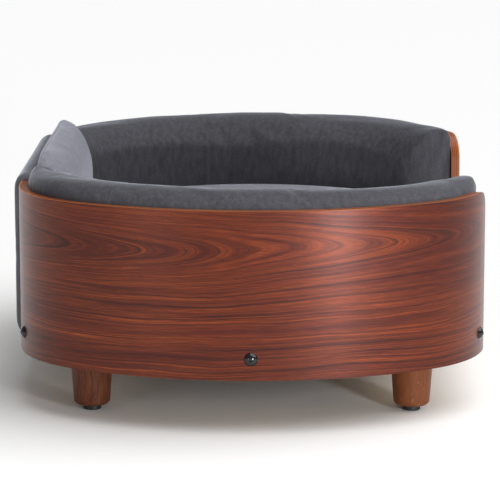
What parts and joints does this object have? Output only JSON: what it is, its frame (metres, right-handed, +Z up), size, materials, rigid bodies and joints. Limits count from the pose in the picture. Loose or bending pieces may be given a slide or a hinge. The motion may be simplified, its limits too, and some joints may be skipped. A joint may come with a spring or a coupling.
{
  "type": "pet sofa bed",
  "caption": "Oval pet sofa bed: bent walnut-veneer end shells on short turned legs, with a padded back panel, padded bolsters and a loose seat cushion and back pillow.",
  "frame": {"origin": "on the floor, in the middle of the footprint", "axes": "+Z up, X along the bed from its left end (-X) to its right end (+X), -Y towards the low open front, +Y towards the padded back"},
  "size_m": [0.8596, 0.607, 0.306],
  "materials": {
    "walnut_veneer": "satin",
    "deck_plywood": "matte",
    "batten_softwood": "matte",
    "hardboard": "matte",
    "leg_hardwood": "satin",
    "velvet_grey": "matte",
    "seat_foam": "matte",
    "pillow_fibre": "matte",
    "dust_cloth": "matte",
    "black_bolt": "gloss",
    "zinc_steel": "satin",
    "glide_plastic": "matte"
  },
  "bodies": {
    "bed_frame": {"end_shell_left": "walnut_veneer", "end_shell_right": "walnut_veneer", "base_deck": "deck_plywood", "front_batten": "batten_softwood", "back_batten": "batten_softwood", "edge_blocks_left": "batten_softwood", "edge_blocks_right": "batten_softwood", "threaded_inserts": "zinc_steel", "shell_bolts_left": "black_bolt", "shell_bolts_right": "black_bolt", "deck_screws": "zinc_steel", "dust_cover": "dust_cloth", "back_panel_board": "deck_plywood", "back_panel_pad": "velvet_grey", "front_rail_board": "deck_plywood", "front_rail_pad": "velvet_grey", "panel_screws": "zinc_steel", "joining_plates": "zinc_steel", "joining_screws": "zinc_steel", "bolster_liner_left": "hardboard", "bolster_liner_right": "hardboard", "bolster_left": "velvet_grey", "bolster_right": "velvet_grey", "leg_plates": "zinc_steel", "leg_plate_screws": "zinc_steel", "leg_hanger_bolts": "zinc_steel", "leg_front_left": "leg_hardwood", "leg_front_right": "leg_hardwood", "leg_back_left": "leg_hardwood", "leg_back_right": "leg_hardwood", "leg_glides": "glide_plastic"},
    "seat_cushion": {"seat_foam": "seat_foam", "seat_cover": "velvet_grey"},
    "back_pillow": {"pillow_fill": "pillow_fibre", "pillow_cover": "velvet_grey"}
  },
  "joints": [
    {"name": "seat_lift", "type": "slide", "parent": "bed_frame", "child": "seat_cushion", "axis": [0, 0, 1], "range_m": [0, 0.2]},
    {"name": "pillow_lift", "type": "slide", "parent": "bed_frame", "child": "back_pillow", "axis": [0, 0, 1], "range_m": [0, 0.2]}
  ]
}
